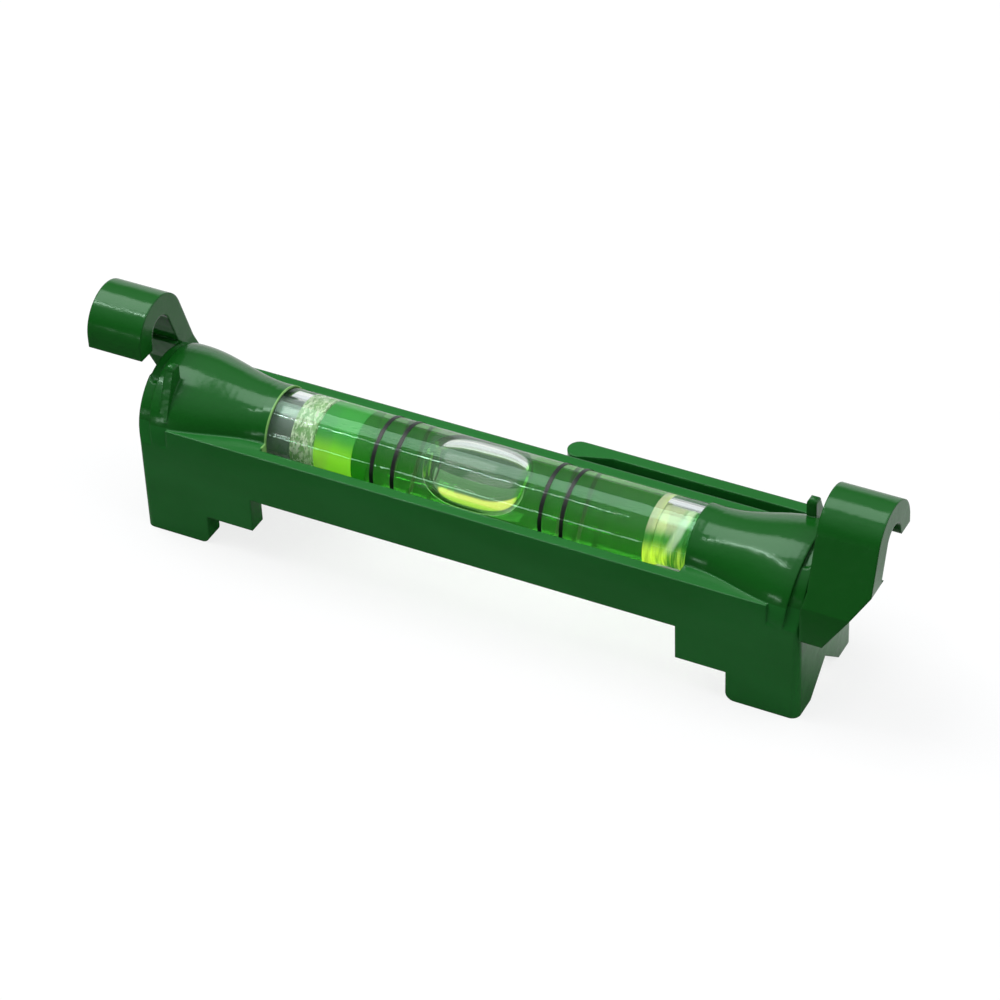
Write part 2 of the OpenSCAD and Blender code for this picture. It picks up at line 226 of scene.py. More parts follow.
# %% Light the room
ROOM_LIGHT = (0.92, 0.96, 1.0, 1)
ROOM_DARK = 0.06
ROOM_CEILING = 0.75
ROOM_BACKDROP = 0.85
CEILING_HEIGHTS = (0.25, 1.0)
BACKDROP_WIDTHS = (0.3, 0.7)
BACKDROP_HEIGHTS = (0.2, 0.45)

world = bpy.data.worlds.new("room")
bpy.context.scene.world = world
world.use_nodes = True
outlook = Field(world.node_tree).node("TexCoord", out="Generated")
overhead = outlook.axis(2).between(*CEILING_HEIGHTS)
behind = outlook.axis(1).between(*BACKDROP_WIDTHS)
low = 1 - outlook.axis(2).between(*BACKDROP_HEIGHTS)
sky = world.node_tree.nodes["Background"]
sky.inputs["Color"].default_value = ROOM_LIGHT
brightness = ROOM_DARK + overhead * ROOM_CEILING + behind * low * ROOM_BACKDROP
world.node_tree.links.new(brightness.socket, sky.inputs["Strength"])
print("room nodes:", len(world.node_tree.nodes))

# %% [markdown]
# ## The lamps
# A large softbox hangs over the level to its upper left and gives the main light.
# A narrow strip beside it draws the thin white lines on the bells, the tube and the left hook.
# A broad fill on the right keeps the right-hand faces from going black.
# A small low lamp in front draws the long broken line along the tube.

# %% Hang the lamps
def soft_lamp(name, direction, distance, size, power, along=(0, 0, 0)):
    """A rectangular lamp that faces the middle of the level, with its long side turned towards a direction."""
    data = bpy.data.lights.new(name, "AREA")
    data.shape = "RECTANGLE"
    data.size, data.size_y = size
    data.energy = power
    lamp = bpy.data.objects.new(name, data)
    bpy.context.scene.collection.objects.link(lamp)
    toward = Vector(direction).normalized()
    side = Vector(along) if any(along) else Vector((0, 1, 0)).cross(toward)
    side = (side - toward * side.dot(toward)).normalized()
    turned = Matrix((side, toward.cross(side), toward)).transposed().to_4x4()
    lamp.matrix_world = Matrix.Translation(toward * distance) @ turned


soft_lamp("overhead_softbox", direction=(-0.47, 0.06, 0.88), distance=0.9, size=(0.62, 0.5), power=4.0)
soft_lamp(
    "strip_lamp", direction=(-0.50, -0.29, 0.815), distance=0.8, size=(0.40, 0.011), power=0.8,
    along=(0.34, -0.36, 0.07),
)
soft_lamp("right_fill", direction=(0.75, 0.15, 0.64), distance=0.9, size=(0.9, 0.9), power=2.3)
soft_lamp(
    "tube_line_lamp", direction=(-0.40, -0.915, 0.08), distance=0.8, size=(0.14, 0.035), power=0.16,
    along=(1, -0.4, 0),
)
print("lamps:", len(bpy.data.lights))

# %% [markdown]
# ## Table
# A table top is a wide sheet with a slight unevenness, so it is a grid with a faint mottle in its colour.
# The top lies a hair below the feet, so that the two never share a plane.

# %% Lay the table top
TABLE_HALF = 1.5
TABLE_SEGMENTS = 8
TABLE_DROP = 0.02 * MM

table_mesh = bpy.data.meshes.new("table_top")
grid = bmesh.new()
bmesh.ops.create_grid(grid, x_segments=TABLE_SEGMENTS, y_segments=TABLE_SEGMENTS, size=TABLE_HALF)
grid.to_mesh(table_mesh)
grid.free()
table = bpy.data.objects.new("table_top", table_mesh)
bpy.context.scene.collection.objects.link(table)
table.location.z = -TABLE_DROP
print("table faces:", len(table_mesh.polygons))

# %% [markdown]
# ## White to look at, grey to be lit by
# The camera sees white paper, but white paper this close would light up the level's dark fronts.
# Light Path tells one kind of ray from another, so the light that the table throws back is that of a grey top.
# A gloss sees the white paper behind the level, less of it further back, and in front a table painted darker as shade.
# A glass sees the white paper past both ends of the level, and the grey top under it.
# Each of these masks is a place on the table, so it stays where it is when the camera moves,
# and seen from another side the level mirrors other parts of them.

# %% Tell the rays apart
PAPER_BEHIND = (-4 * MM, 12 * MM)
PAPER_FADES = (13 * MM, 18 * MM)
FADED_PART = 0.65
MOTTLE_GRAIN = 30
PAST_THE_ENDS = (30 * MM, 36 * MM)

table_finish, table_shader, place = new_finish("table_white", Specular_IOR_Level=0.1, Emission_Strength=1.0)
mottle = place.noise(MOTTLE_GRAIN, detail=3)
camera_ray = place.node("LightPath", out="Is Camera Ray")
glass_ray = place.node("LightPath", out="Is Transmission Ray")
glossy_ray = place.node("LightPath", out="Is Glossy Ray") * (1 - glass_ray)
table_x = place.axis(0)
table_y = place.axis(1)
behind_level = table_y.between(*PAPER_BEHIND)
paper_fades = table_y.between(*PAPER_FADES)
past_the_ends = table_x.size().between(*PAST_THE_ENDS)
glossy_paper = glossy_ray * behind_level * (1 - paper_fades * FADED_PART)
seen_as_paper = (camera_ray + glass_ray * past_the_ends + glossy_paper).at_most(1)
print("a glass sees paper past", [round(x / MM) for x in PAST_THE_ENDS], "mm")

# %% [markdown]
# ## The glow under the bubble
# The photograph shows a lime crescent in the bubble, as if light had come down through the dyed liquid.
# A ray that goes through the tube and the liquid crosses six skins, and one that also goes through the bubble
# crosses eight, so a Transmission Depth between six and eight is where the two are told apart.
# Rays through the bubble see the table in a painted shade of the level, with a lime band in front of a white one.
# The bands are painted to match the photograph, and don't come from the lamps.
# They lie behind the level as the photograph sees it, so from behind the bubble shows no crescent.

# %% Paint what is seen through the bubble
PAPER_GLOW = (0.80, 0.80, 0.80, 1)
LIME_GLOW = (1.3, 0.84, 0.23, 1)
# The bubble's dark green is painted shade.
BUBBLE_SHADE = (0.16, 0.27, 0.18, 1)
NO_GLOW = (0, 0, 0, 1)
BUBBLE_SKINS = (6.5, 7.5)
BUBBLE_FRONT = (1 * MM, 2 * MM)
LIME_BACK = (6.2 * MM, 6.8 * MM)
WHITE_FRONT = (9.6 * MM, 10.4 * MM)

skins_crossed = place.node("LightPath", out="Transmission Depth")
through_bubble = glass_ray * skins_crossed.between(*BUBBLE_SKINS) * table_y.between(*BUBBLE_FRONT)
lime_band = through_bubble * (1 - table_y.between(*LIME_BACK))
white_band = through_bubble * table_y.between(*WHITE_FRONT)
bubble_glow = white_band.blend(lime_band.blend(NO_GLOW, LIME_GLOW), PAPER_GLOW)
print("the lime band ends", round(LIME_BACK[1] / MM, 1), "mm behind the middle")

# %% [markdown]
# ## The table's colours
# The grey and the white are each a pair that the mottle blends, so that the sheet is never one flat tone.
# What a gloss sees in front of the level is painted shade, darkest far away and a little paler close to it.

# %% Colour the table
GREY_TOP = ((0.44, 0.44, 0.44, 1), (0.47, 0.47, 0.47, 1))
WHITE_PAPER = ((0.19, 0.19, 0.19, 1), (0.20, 0.20, 0.20, 1))
FAR_FRONT_SHADE = (0.08, 0.08, 0.08, 1)
NEAR_FRONT_SHADE = (0.22, 0.22, 0.22, 1)
FRONT_REACH = (-22 * MM, -17 * MM)
TABLE_ROUGHNESS = 0.7
TABLE_ROUGHNESS_DRIFT = 0.2

grey_top = mottle.blend(*GREY_TOP)
# The tone in front is painted shade that the glossy faces mirror.
front_painted_shade = table_y.between(*FRONT_REACH).blend(FAR_FRONT_SHADE, NEAR_FRONT_SHADE)
matte_tone = (glossy_ray * (1 - behind_level)).blend(grey_top, front_painted_shade)
white_paper = mottle.blend(*WHITE_PAPER)
link_looks(
    table_shader,
    Base_Color=seen_as_paper.blend(through_bubble.blend(matte_tone, BUBBLE_SHADE), white_paper),
    Emission_Color=seen_as_paper.blend(bubble_glow, PAPER_GLOW),
    Roughness=TABLE_ROUGHNESS + mottle * TABLE_ROUGHNESS_DRIFT,
)
table_mesh.materials.append(table_finish)

# %% [markdown]
# ## Green moulded plastic
# The body is one piece of glossy green plastic from a polished mould.
# Its colour drifts a little where the melt flowed, and handling has left fine rubs that show as duller patches.
# Two fine waves in the relief, one long and one short, break up the highlights as a real moulding does.

# %% Start the green plastic
FLOW_GRAIN = (60, 160, 160)
RUB_GRAIN = (300, 1200, 1200)
RIPPLE_GRAIN = (160, 260, 260)
SHIVER_GRAIN = (900, 1100, 1100)
RUBBED = (0.55, 0.8)

green, green_shader, place = new_finish(
    "green_plastic", IOR=1.5, Specular_IOR_Level=0.36, Specular_Tint=(0.70, 1.0, 0.80, 1)
)
flow = place.stretch(*FLOW_GRAIN).noise(detail=2)
rubs = place.stretch(*RUB_GRAIN).noise(detail=3).between(*RUBBED)
ripple = place.stretch(*RIPPLE_GRAIN).noise(detail=1)
shiver = place.stretch(*SHIVER_GRAIN).noise(detail=1)
print("ripples are about", round(1000 / RIPPLE_GRAIN[0]), "mm long")

# %% [markdown]
# ## Where the green is painted paler or darker
# The lip round the left mouth is painted pale as painted light, and the hooks and the bells' tops are painted a darker
# green as painted shade.
# Each of these is a mask made of the place on the body. The lip is a short length along x within a small distance
# of the vial's axis, and squares are compared because that saves a root.

# %% Mask the lip, the hooks and the bells
LEFT_LIP = -22.5 * MM
LIP_START = (LEFT_LIP - 0.22 * MM, LEFT_LIP - 0.12 * MM)
LIP_STOP = (LEFT_LIP + 0.05 * MM, LEFT_LIP + 0.1 * MM)
LIP_EDGE_SQUARED = ((4.9 * MM) ** 2, (5.1 * MM) ** 2)
HOOK_START = (36.0 * MM, 36.6 * MM)
BELL_START = (22 * MM, 22.5 * MM)
BELL_FOOT = (12.95 * MM, 13.1 * MM)
AXIS_HEIGHT = 12.2 * MM

body_x = place.axis(0)
above_axis = place.axis(2) - AXIS_HEIGHT
off_axis_squared = place.axis(1) * place.axis(1) + above_axis * above_axis
lit_lip = body_x.between(*LIP_START) * (1 - body_x.between(*LIP_STOP))
lit_lip = lit_lip * (1 - off_axis_squared.between(*LIP_EDGE_SQUARED))
in_hook = body_x.size().between(*HOOK_START)
in_bell = body_x.size().between(*BELL_START) * place.axis(2).between(*BELL_FOOT)
# This mask lays painted shade on the hooks and the bells.
hooks_and_bells_shade = (in_hook + in_bell).at_most(1)
print("the hooks' green starts", round(HOOK_START[0] / MM), "mm from the middle")

# %% [markdown]
# ## The green itself
# The mould's edges are softened by a small radius, which catches a thin light line along every edge.
# A Bevel node bends the normal at each edge, and the relief goes on top of it.

# %% Mix the green plastic
WALL_GREEN = (0.0145, 0.160, 0.024, 1)
WALL_DEEP_GREEN = (0.011, 0.140, 0.018, 1)
# The hooks' darker green is painted shade, and the lip's pale green is painted light.
HOOK_SHADE_GREEN = (0.0078, 0.110, 0.0110, 1)
LIP_LIGHT_GREEN = (0.26, 0.55, 0.15, 1)
FLOW_MARKS = (0.3, 0.7)
SHIVER_PART = 0.3
MOULD_RELIEF = 0.07 * MM
MOULD_EDGE = 0.28 * MM
GREEN_ROUGHNESS = 0.13
RUB_ROUGHNESS = 0.05
FLOW_ROUGHNESS = 0.05

wall_green = flow.between(*FLOW_MARKS).blend(WALL_DEEP_GREEN, WALL_GREEN)
link_looks(
    green_shader,
    relief=ripple + shiver * SHIVER_PART,
    relief_depth=MOULD_RELIEF,
    relief_strength=1.0,
    edge_radius=MOULD_EDGE,
    Base_Color=lit_lip.blend(hooks_and_bells_shade.blend(wall_green, HOOK_SHADE_GREEN), LIP_LIGHT_GREEN),
    Roughness=GREEN_ROUGHNESS + rubs * RUB_ROUGHNESS + flow * FLOW_ROUGHNESS,
)

# %% [markdown]
# ## Clear acrylic
# The vial is a polished acrylic tube, and handling leaves faint smears along it.
# A renderer bends light wherever two skins meet, and it takes the far side of each skin to be air.
# A wetted wall has no air behind it and hardly bends light, so the bore has an index close to one.

# %% Mix the clear acrylic and its wetted bore
SMEAR_GRAIN = (120, 500, 500)
SMEARED = (0.55, 0.8)
SMEAR_RELIEF = 0.02 * MM
SMEAR_STRENGTH = 0.3
ACRYLIC_TINTS = ((0.96, 1.0, 0.97, 1), (0.93, 0.99, 0.95, 1))
ACRYLIC_ROUGHNESS = 0.01
SMEAR_ROUGHNESS = 0.02
FILM_GRAIN = (100, 400, 400)
BORE_TINTS = ((0.98, 1.0, 0.98, 1), (1.0, 1.0, 1.0, 1))

acrylic, acrylic_shader, place = new_finish(
    "clear_acrylic", IOR=1.49, Transmission_Weight=1.0, Specular_Tint=(0.5, 0.88, 0.66, 1)
)
smears = place.stretch(*SMEAR_GRAIN).noise(detail=3)
link_looks(
    acrylic_shader,
    relief=smears,
    relief_depth=SMEAR_RELIEF,
    relief_strength=SMEAR_STRENGTH,
    Base_Color=smears.blend(*ACRYLIC_TINTS),
    Roughness=ACRYLIC_ROUGHNESS + smears.between(*SMEARED) * SMEAR_ROUGHNESS,
)

wetted, wetted_shader, place = new_finish("wetted_bore", IOR=1.0956, Roughness=0, Transmission_Weight=1.0)
film = place.stretch(*FILM_GRAIN).noise(detail=2)
link_looks(wetted_shader, Base_Color=film.blend(*BORE_TINTS))

# %% [markdown]
# ## Liquid and bubble skin
# The liquid is a thin spirit dyed yellow-green. Its skin touches the wetted bore, so it passes light straight on
# and only colours it. The bubble's skin meets air and bends light as a liquid does.
# Over the bubble only a thin film of liquid is left, so a mask takes the dye away there.
# The mask has the same blunt ends as the bubble, because both raise the distance from its middle to one power.

# %% Mix the liquid and the bubble's skin
BUBBLE_HALF = 5.6 * MM
BUBBLE_X = -0.6 * MM
END_BLUNTNESS = 2.7
DRIFT_GRAIN = (60, 250, 250)
DYE_TINTS = ((0.36, 0.94, 0.26, 1), (0.44, 0.98, 0.32, 1))
BUBBLE_ENDS = (0.75, 0.98)
BUBBLE_SIDES = (AXIS_HEIGHT, AXIS_HEIGHT + 0.4 * MM)
UNDYED = (0.97, 1.0, 0.96, 1)
SHIMMER_GRAIN = (300, 500, 500)
BUBBLE_TINTS = ((0.96, 1.0, 0.96, 1), (1.0, 1.0, 1.0, 1))

spirit, spirit_shader, place = new_finish("green_liquid", IOR=1.0, Roughness=0, Transmission_Weight=0.97)
drift = place.stretch(*DRIFT_GRAIN).noise(detail=2)
dyed = drift.blend(*DYE_TINTS)
from_middle = (place.axis(0) - BUBBLE_X) * (1 / BUBBLE_HALF)
from_middle = from_middle.math("POWER", from_middle.size(), END_BLUNTNESS)
over_bubble = (1 - from_middle.between(*BUBBLE_ENDS)) * place.axis(2).between(*BUBBLE_SIDES)
link_looks(spirit_shader, Base_Color=over_bubble.blend(dyed, UNDYED))

skin, skin_shader, place = new_finish("bubble_skin", IOR=1.36, Roughness=0, Transmission_Weight=1.0)
shimmer = place.stretch(*SHIMMER_GRAIN).noise(detail=2)
link_looks(skin_shader, Base_Color=shimmer.blend(*BUBBLE_TINTS))

# %% [markdown]
# ## Clear resin and a crazed joint
# A plug closes each end of the bore.
# The left one shows three lengths: clear resin, then a crazed joint, then lime resin.
# Crazing is many tiny cracks that throw the light about, so its finish is rough, bumpy and half opaque.

# %% Mix the clear resin and the crazed joint
CLOUD_GRAIN = (300, 300, 300)
RESIN_TINTS = ((0.80, 0.90, 0.83, 1), (0.70, 0.84, 0.75, 1))
RESIN_ROUGHNESS = 0.03
CLOUD_ROUGHNESS = 0.05
CRACK_GRAIN = (2600, 1500, 1500)
CRACKED = (0.38, 0.62)
CRACK_TINTS = ((0.26, 0.56, 0.18, 1), (0.85, 0.98, 0.72, 1))
CRACK_RELIEF = 0.25 * MM
CRACK_STRENGTH = 0.8
JOINT_ROUGHNESS = 0.12
CRACK_ROUGHNESS = 0.3

resin, resin_shader, place = new_finish("clear_resin", IOR=1.47, Transmission_Weight=0.9)
cloud = place.stretch(*CLOUD_GRAIN).noise(detail=3)
link_looks(
    resin_shader,
    Base_Color=cloud.blend(*RESIN_TINTS),
    Roughness=RESIN_ROUGHNESS + cloud * CLOUD_ROUGHNESS,
)

crazed, crazed_shader, place = new_finish("crazed_joint", IOR=1.35, Transmission_Weight=0.45)
cracks = place.stretch(*CRACK_GRAIN).noise(detail=4, roughness=0.7)
link_looks(
    crazed_shader,
    relief=cracks,
    relief_depth=CRACK_RELIEF,
    relief_strength=CRACK_STRENGTH,
    Base_Color=cracks.between(*CRACKED).blend(*CRACK_TINTS),
    Roughness=JOINT_ROUGHNESS + cracks * CRACK_ROUGHNESS,
)

# %% [markdown]
# ## Lime resin
# The lime length scatters part of the light, so it is only partly clear.
# It is its lime dye painted bright in its lower half and deep green above as painted light and shade, and a small
# emission there is a painted glow.
# Its end face, which the liquid touches, stays dark and doesn't glow.

# %% Mix the lime resin
LIME_END = -13.3 * MM
LIME_FACE = (LIME_END, LIME_END + 0.05 * MM)
LIME_TOP = (AXIS_HEIGHT + 0.6 * MM, AXIS_HEIGHT + 2.8 * MM)
LIME_WAVE = 0.6 * MM
GLOW_GRAIN = (200, 400, 400)
LIME_SHADED_AND_LIT = ((0.05, 0.32, 0.06, 1), (0.33, 0.84, 0.045, 1))
LIME_FACE_TINT = (0.012, 0.16, 0.02, 1)
LIME_PAINTED_GLOW = (0.07, 0.17, 0.012, 1)
LIME_ROUGHNESS = 0.12
LIME_ROUGHNESS_DRIFT = 0.1

lime, lime_shader, place = new_finish("lime_resin", IOR=1.0, Transmission_Weight=0.35, Emission_Strength=1.0)
glow = place.stretch(*GLOW_GRAIN).noise(detail=2)
# The lower half is painted lit and the upper half painted shaded, and the emission is a painted glow.
lit_low = 1 - (place.axis(2) + glow * LIME_WAVE).between(*LIME_TOP)
lime_dye_lit_and_shaded = lit_low.blend(*LIME_SHADED_AND_LIT)
at_end = place.axis(0).between(*LIME_FACE)
link_looks(
    lime_shader,
    Base_Color=at_end.blend(lime_dye_lit_and_shaded, LIME_FACE_TINT),
    Emission_Color=(lit_low * (1 - at_end)).blend(NO_GLOW, LIME_PAINTED_GLOW),
    Roughness=LIME_ROUGHNESS + glow * LIME_ROUGHNESS_DRIFT,
)

# %% [markdown]
# ## Streaked resin
# The right plug is short and streaked all over, and its bands lie at different heights.
# Its foot is lime with a painted glow, its upper part is dark green, its top is beige, and a painted highlight slants
# across its front as a pale strip.
# The streaks also push these bands up and down a little, so that no edge is straight.

# %% Place the bands of the right plug
STREAK_GRAIN = (1500, 160, 160)
STREAKED = (0.36, 0.64)
STREAK_SHIFT = 0.9 * MM
BEIGE_BOTTOM = (2.1 * MM, 2.9 * MM)
BEIGE_STOP = (21.2 * MM, 22 * MM)
FOOT_TOP = (0.6 * MM, 2.0 * MM)
STRIP_SLANT = 0.4
STRIP_START = (20.0 * MM, 20.5 * MM)
STRIP_STOP = (20.9 * MM, 21.3 * MM)
STRIP_BOTTOM = (0.3 * MM, 1.6 * MM)

streaked, streaked_shader, place = new_finish(
    "streaked_resin", IOR=1.1, Transmission_Weight=0.5, Emission_Strength=1.0
)
streaks = place.stretch(*STREAK_GRAIN).noise(detail=3, roughness=0.6)
streaky = streaks.between(*STREAKED)
rise = place.axis(2) - AXIS_HEIGHT + streaks * STREAK_SHIFT
beige_top = rise.between(*BEIGE_BOTTOM) * (1 - place.axis(0).between(*BEIGE_STOP))
lime_foot = 1 - rise.between(*FOOT_TOP)
slanted = place.axis(0) - rise * STRIP_SLANT
# This strip is a painted highlight.
painted_highlight_strip = slanted.between(*STRIP_START) * (1 - slanted.between(*STRIP_STOP)) * rise.between(*STRIP_BOTTOM)
print("the lime foot fades out", round(FOOT_TOP[1] / MM, 1), "mm above the axis")

# %% [markdown]
# ## Colours of the streaks
# The lime foot and the dark upper part are each a pair of colours that the streaks blend.
# The beige top and the painted highlight have one colour each, and their masks lay them over the rest.

# %% Mix the streaked resin
LIME_DARK = (0.14, 0.52, 0.07, 1)
LIME_PALE = (0.72, 0.90, 0.22, 1)
UPPER_DARK = (0.02, 0.20, 0.03, 1)
UPPER_PALE = (0.10, 0.42, 0.10, 1)
PAINTED_HIGHLIGHT_GREEN = (0.70, 0.86, 0.64, 1)
BEIGE = (0.66, 0.68, 0.45, 1)
FOOT_PAINTED_GLOW = (0.30, 0.42, 0.02, 1)
STREAK_RELIEF = 0.2 * MM
STREAK_STRENGTH = 0.7
STREAKED_ROUGHNESS = 0.06
STREAK_ROUGHNESS = 0.2

streaks_and_highlight = lime_foot.blend(streaky.blend(UPPER_DARK, UPPER_PALE), streaky.blend(LIME_DARK, LIME_PALE))
streaks_and_highlight = painted_highlight_strip.blend(beige_top.blend(streaks_and_highlight, BEIGE), PAINTED_HIGHLIGHT_GREEN)
link_looks(
    streaked_shader,
    relief=streaks,
    relief_depth=STREAK_RELIEF,
    relief_strength=STREAK_STRENGTH,
    Base_Color=streaks_and_highlight,
    # The foot's emission is a painted glow.
    Emission_Color=(lime_foot * streaky).blend(NO_GLOW, FOOT_PAINTED_GLOW),
    Roughness=STREAKED_ROUGHNESS + streaks * STREAK_ROUGHNESS,
)

# %% [markdown]
# ## Ink
# The reading rings are printed. Ink on a smooth tube is nearly black, with a fine grain in its colour and its gloss.

# %% Mix the ink
INK_GRAIN = 6000
INK_TONES = ((0.004, 0.006, 0.005, 1), (0.012, 0.016, 0.013, 1))
INK_ROUGHNESS = 0.3
INK_ROUGHNESS_DRIFT = 0.2

ink, ink_shader, place = new_finish("black_ink", IOR=1.45)
print_grain = place.noise(INK_GRAIN, detail=2)
link_looks(
    ink_shader,
    Base_Color=print_grain.blend(*INK_TONES),
    Roughness=INK_ROUGHNESS + print_grain * INK_ROUGHNESS_DRIFT,
)

# %% [markdown]
# ## A turned piece
# Turned pieces are drawn as half outlines and swept round the vial's axis.
# The sweep has many more steps than the solid model, because the clear walls act as a lens and would show every facet.
# A point of the outline that lies on the axis stays one point, so the faces that meet there are triangles.

# %% Sweep an outline round the axis
TURN_STEPS = 160
SHARP_EDGE = math.radians(35)


def turn(name, outline, material):
    """Sweeps a closed (place, radius) outline round the vial's axis into a smooth piece."""
    mesh = bpy.data.meshes.new(name)
    shape = bmesh.new()
    turns = [2 * math.pi * i / TURN_STEPS for i in range(TURN_STEPS)]
    rings = []
    for x, radius in outline:
        if radius <= 0:
            rings.append([shape.verts.new((x, 0, AXIS_HEIGHT))] * TURN_STEPS)
            continue
        rings.append([
            shape.verts.new((x, radius * math.cos(a), AXIS_HEIGHT + radius * math.sin(a))) for a in turns
        ])
    for first, second in zip(rings, rings[1:] + rings[:1]):
        for i in range(TURN_STEPS):
            corners = list(dict.fromkeys([first[i], first[i - 1], second[i - 1], second[i]]))
            if len(corners) > 2:
                shape.faces.new(corners)
    bmesh.ops.recalc_face_normals(shape, faces=shape.faces)
    shape.to_mesh(mesh)
    shape.free()
    mesh.shade_smooth()
    mesh.set_sharp_from_angle(angle=SHARP_EDGE)
    mesh.materials.append(material)
    piece = bpy.data.objects.new(name, mesh)
    bpy.context.scene.collection.objects.link(piece)
    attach(piece, "root")
    print(name, "has", len(mesh.polygons), "faces")
    return piece


# %% [markdown]
# ## The crowned bore
# The bore is a little wider in the middle than at its ends. That crown is what makes a bubble run to the higher end.
# The tube and the liquid share it, so it is one function of the place along the vial.

# %% Measure the vial
VIAL_HALF = 26.5 * MM
VIAL_RADIUS = 4.05 * MM
BORE_RADIUS = 3.1 * MM
BORE_CROWN = 0.12 * MM
BORE_STATIONS = 24
LIQUID_LEFT = -13.2 * MM
LIQUID_RIGHT = 18.5 * MM
WET_LEFT = -20.2 * MM
WET_RIGHT = 19.4 * MM


def bore_at(x):
    """Radius of the crowned bore at a place along the vial."""
    middle = (LIQUID_LEFT + LIQUID_RIGHT) / 2
    half = (LIQUID_RIGHT - LIQUID_LEFT) / 2
    return BORE_RADIUS + BORE_CROWN * max(0, 1 - ((x - middle) / half) ** 2)


bore_steps = [
    LIQUID_LEFT + (LIQUID_RIGHT - LIQUID_LEFT) * i / BORE_STATIONS for i in range(BORE_STATIONS + 1)
]
print("the bore is", round(bore_at(bore_steps[BORE_STATIONS // 2]) / MM, 3), "mm in radius at its middle")

# %% [markdown]
# ## Tube
# The tube's rims are rounded a little.
# Its bore is dry at both ends, where the plugs stand loose, and wetted between them.
# The wetted faces are found by their distance from the axis and by their normal, which doesn't point along the tube.
# Clear pieces cast no shadow here, because a renderer would make it black.

# %% Turn the tube
RIM_ROUND = 0.12 * MM
BORE_MARGIN = 0.4 * MM
END_FACE_NORMAL = 0.5

tube_outline = (
    [(WET_LEFT, BORE_RADIUS), (-VIAL_HALF, BORE_RADIUS)]
    + [(-VIAL_HALF, VIAL_RADIUS - RIM_ROUND), (-VIAL_HALF + RIM_ROUND, VIAL_RADIUS)]
    + [(VIAL_HALF - RIM_ROUND, VIAL_RADIUS), (VIAL_HALF, VIAL_RADIUS - RIM_ROUND), (VIAL_HALF, BORE_RADIUS)]
    + [(WET_RIGHT, BORE_RADIUS)]
    + [(x, bore_at(x)) for x in reversed(bore_steps)]
)
tube = turn("clear_tube", tube_outline, acrylic)
tube.data.materials.append(wetted)
for face in tube.data.polygons:
    radius = math.hypot(face.center.y, face.center.z - AXIS_HEIGHT)
    bore = radius < VIAL_RADIUS - BORE_MARGIN and abs(face.normal.x) < END_FACE_NORMAL
    face.material_index = int(bore and WET_LEFT < face.center.x < WET_RIGHT)
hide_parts("vial_tube")
tube.visible_shadow = False
print("wetted faces:", sum(face.material_index for face in tube.data.polygons))

# %% [markdown]
# ## Liquid
# The liquid fills the bore between the plugs. It stops a hair short of the wall and of both plugs,
# so that no two skins lie in one place.

# %% Turn the liquid
WETTING = -0.01 * MM
LIQUID_GAP = 0.02 * MM

liquid_start = LIQUID_LEFT + LIQUID_GAP
liquid_stop = LIQUID_RIGHT - LIQUID_GAP
liquid_outline = (
    [(liquid_start, 0)]
    + [(min(max(x, liquid_start), liquid_stop), bore_at(x) + WETTING) for x in bore_steps]
    + [(liquid_stop, 0)]
)
liquid = turn("level_liquid", liquid_outline, spirit)

# %% [markdown]
# ## Bubble
# The bubble is air in the spirit. It fills the upper half of the bore and presses up against its wall.
# Its floor is flatter than its top and turns up where it meets the wall, and its two ends are blunt and ride high.
# It is a closed hollow in the liquid with its skin facing the air inside, which is how a renderer tells water from air.

# %% Blow the bubble
BUBBLE_FILM = 0.05 * MM
BUBBLE_DEPTH = 1.8 * MM
FLOOR_FLATNESS = 0.85
END_LIFT = 0.45
BUBBLE_STATIONS = 64
BUBBLE_TURNS = 96


def bubble_ring(shape, reach):
    """One ring of the bubble's skin, at a reach from -1 at its left end to 1 at its right end."""
    scale = (1 - abs(reach) ** END_BLUNTNESS) ** (1 / END_BLUNTNESS)
    x = BUBBLE_X + BUBBLE_HALF * reach
    full = bore_at(x) - BUBBLE_FILM
    radius = full * scale
    middle = AXIS_HEIGHT + (full - radius) * END_LIFT
    ring = []
    for k in range(BUBBLE_TURNS):
        angle = 2 * math.pi * k / BUBBLE_TURNS
        rise = math.sin(angle)
        height = radius * rise if rise > 0 else -BUBBLE_DEPTH * scale * abs(rise) ** FLOOR_FLATNESS
        ring.append(shape.verts.new((x, radius * math.cos(angle), middle + height)))
    return ring


def blow_bubble(target):
    """Adds the bubble's skin to the liquid's mesh, facing inwards."""
    mesh = target.data
    shape = bmesh.new()
    shape.from_mesh(mesh)
    before = set(shape.faces)
    rings = [
        bubble_ring(shape, -math.cos(math.pi * i / BUBBLE_STATIONS)) for i in range(1, BUBBLE_STATIONS)
    ]
    for first, second in zip(rings, rings[1:]):
        for k in range(BUBBLE_TURNS):
            shape.faces.new([first[k], first[k - 1], second[k - 1], second[k]])
    for ring, reach in ((rings[0], -1), (rings[-1], 1)):
        height = AXIS_HEIGHT + (BORE_RADIUS - BUBBLE_FILM) * END_LIFT
        tip = shape.verts.new((BUBBLE_X + BUBBLE_HALF * reach, 0, height))
        for k in range(BUBBLE_TURNS):
            shape.faces.new([ring[k], ring[k - 1], tip])
    fresh = [face for face in shape.faces if face not in before]
    bmesh.ops.recalc_face_normals(shape, faces=fresh)
    bmesh.ops.reverse_faces(shape, faces=fresh)
    for face in fresh:
        face.smooth = True
        face.material_index = 1
    shape.to_mesh(mesh)
    shape.free()


liquid.data.materials.append(skin)
blow_bubble(liquid)
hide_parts("liquid")
liquid.visible_shadow = False
print("liquid faces with the bubble:", len(liquid.data.polygons))

# %% [markdown]
# ## Plugs in the bore
# A plug is turned like the tube. Its inner length is glued to the bore, and its outer length stands loose in it.
# The air round the loose length is what makes that end of the tube look clear and silvery.
# The crazed joint of the left plug ends in a shallow groove, which shows as a thin bright ring.

# %% Outline a plug
JOINT_GROOVE = 0.22 * MM
GROOVE_HALF = 0.12 * MM
LOOSE_GAP = 0.2 * MM
PLUG_SKIN = BORE_RADIUS + WETTING
LOOSE_SKIN = BORE_RADIUS - LOOSE_GAP


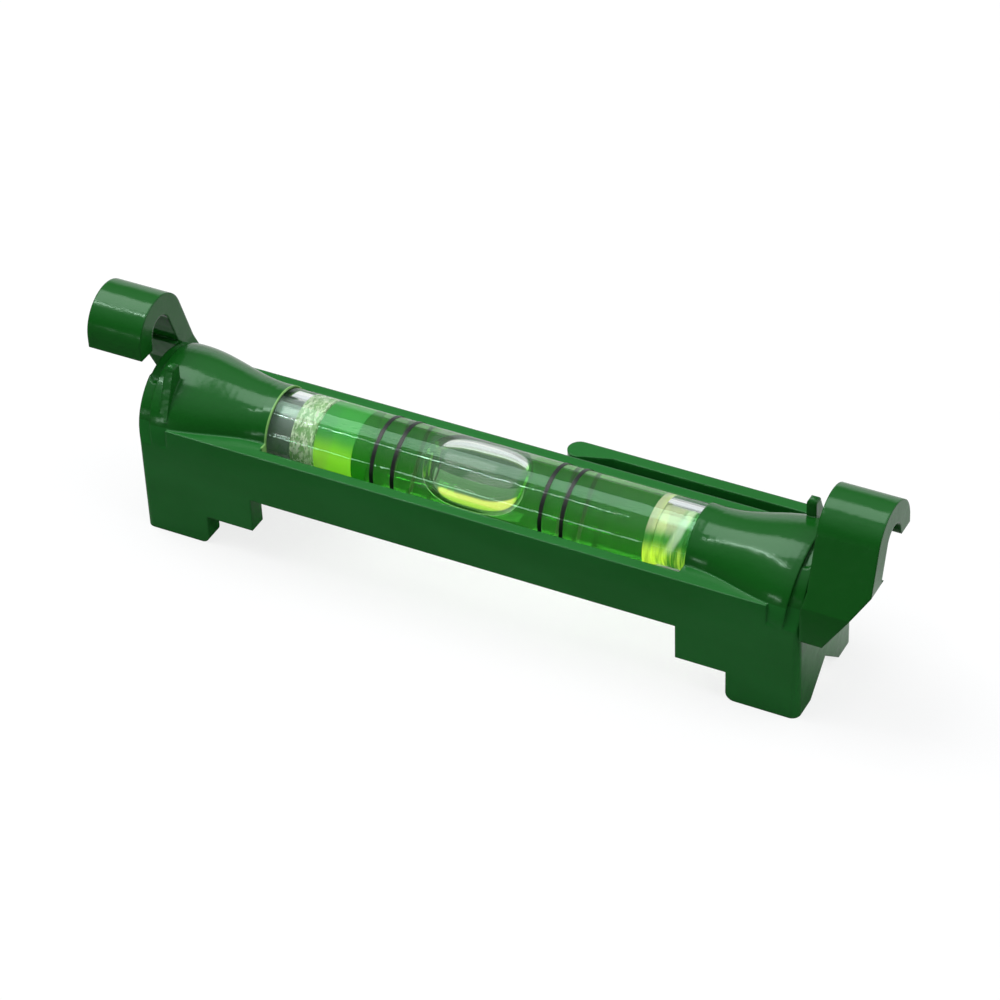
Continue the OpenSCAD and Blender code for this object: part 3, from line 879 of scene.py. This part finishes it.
def groove(x):
    """A shallow V round the plug."""
    return [(x - GROOVE_HALF, PLUG_SKIN), (x, PLUG_SKIN - JOINT_GROOVE), (x + GROOVE_HALF, PLUG_SKIN)]


def plug_outline(outer_x, glued_x, inner_x, grooves=()):
    """Half outline of a plug: a loose outer length, then a glued one that ends at the liquid."""
    middle = [point for x in grooves for point in groove(x)]
    return [
        (outer_x, 0), (outer_x, LOOSE_SKIN), (glued_x, LOOSE_SKIN), (glued_x, PLUG_SKIN), *middle,
        (inner_x, PLUG_SKIN), (inner_x, 0),
    ]


print("a plug's glued skin is", round(PLUG_SKIN / MM, 2), "mm in radius")

# %% [markdown]
# ## The two plugs
# The left plug has three finishes. Each face takes the one of its place: adding up the borders that it lies past
# gives 0 for the clear resin, 1 for the crazed joint and 2 for the lime resin.

# %% Turn the two plugs
CRAZED_END = -17.6 * MM
PLUG_END_GAP = 0.02 * MM
BORDER_SLACK = 0.01 * MM

left_plug = turn(
    "left_vial_plug",
    plug_outline(-VIAL_HALF + PLUG_END_GAP, WET_LEFT, LIQUID_LEFT + WETTING, (CRAZED_END,)),
    resin,
)
left_plug.data.materials.append(crazed)
left_plug.data.materials.append(lime)
for face in left_plug.data.polygons:
    face.material_index = (face.center.x > WET_LEFT - BORDER_SLACK) + (face.center.x > CRAZED_END)
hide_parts("left_plug")

right_plug = turn(
    "right_vial_plug",
    plug_outline(VIAL_HALF - PLUG_END_GAP, WET_RIGHT, LIQUID_RIGHT - WETTING),
    streaked,
)
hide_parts("right_plug")
for plug in (left_plug, right_plug):
    plug.visible_shadow = False
print("lime faces:", sum(face.material_index == 2 for face in left_plug.data.polygons))

# %% [markdown]
# ## Body and rings
# The body and the printed rings have the right shape already, so they keep their solids and only get a finish.

# %% Finish the body and the rings
def dress(node, material):
    """Gives a solid of the model its finish."""
    for material_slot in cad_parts[node].material_slots:
        material_slot.material = material
    print(node, "is dressed in", material.name)


dress("body", green)
dress("reading_rings", ink)

# %% [markdown]
